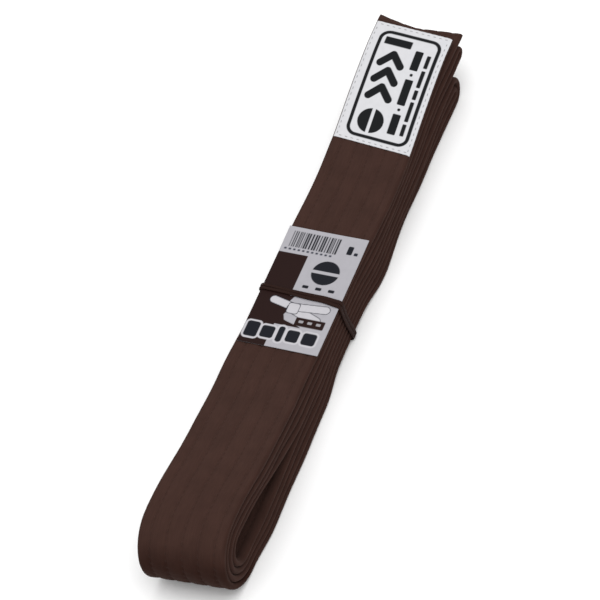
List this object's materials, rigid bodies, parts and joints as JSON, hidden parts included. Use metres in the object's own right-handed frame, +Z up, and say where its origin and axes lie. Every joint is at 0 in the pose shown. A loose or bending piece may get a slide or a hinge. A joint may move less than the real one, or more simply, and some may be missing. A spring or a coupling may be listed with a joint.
{
  "type": "martial arts belt",
  "caption": "Folded cotton martial arts belt with quilted stitch rows, a woven end label, a size card and an elastic band round its waist.",
  "frame": {"origin": "centre of the folded bundle's bounding box footprint, on the surface that it lies on", "axes": "+X along the bundle towards the free end with the label, +Y across the belt's width, +Z up out of the surface"},
  "size_m": [0.307, 0.0428, 0.0398],
  "materials": {
    "belt_cotton": "matt cotton weave",
    "core_cotton": "raw cotton",
    "sewing_thread": "twisted thread, slight sheen",
    "label_satin": "woven satin",
    "label_thread": "fine thread",
    "card_stock": "coated card, slight gloss",
    "band_rubber": "satin elastic"
  },
  "bodies": {
    "belt_fold": {"cover": "belt_cotton", "core_ply_1": "core_cotton", "core_ply_2": "core_cotton", "core_ply_3": "core_cotton", "core_ply_4": "core_cotton", "stitch_row_1": "sewing_thread", "stitch_row_2": "sewing_thread", "stitch_row_3": "sewing_thread", "stitch_row_4": "sewing_thread", "stitch_row_5": "sewing_thread", "inner_end_seam": "sewing_thread"},
    "free_end": {"free_end_cover": "belt_cotton", "free_end_ply_1": "core_cotton", "free_end_ply_2": "core_cotton", "free_end_ply_3": "core_cotton", "free_end_ply_4": "core_cotton", "free_end_stitch_1": "sewing_thread", "free_end_stitch_2": "sewing_thread", "free_end_stitch_3": "sewing_thread", "free_end_stitch_4": "sewing_thread", "free_end_stitch_5": "sewing_thread", "free_end_seam": "sewing_thread", "woven_label": "label_satin", "label_thread": "label_thread"},
    "card": {"size_card": "card_stock"},
    "band": {"elastic_band": "band_rubber"}
  },
  "joints": [
    {"name": "free_end_lift", "type": "hinge", "parent": "belt_fold", "child": "free_end", "pos_m": [0.072, 0, 0.0272], "axis": [0, -1, 0], "range_deg": [0, 60]},
    {"name": "card_slide", "type": "slide", "parent": "belt_fold", "child": "card", "axis": [1, 0, 0], "range_m": [0, 0.028]},
    {"name": "band_slide", "type": "slide", "parent": "belt_fold", "child": "band", "axis": [1, 0, 0], "range_m": [-0.01, 0.01]}
  ]
}
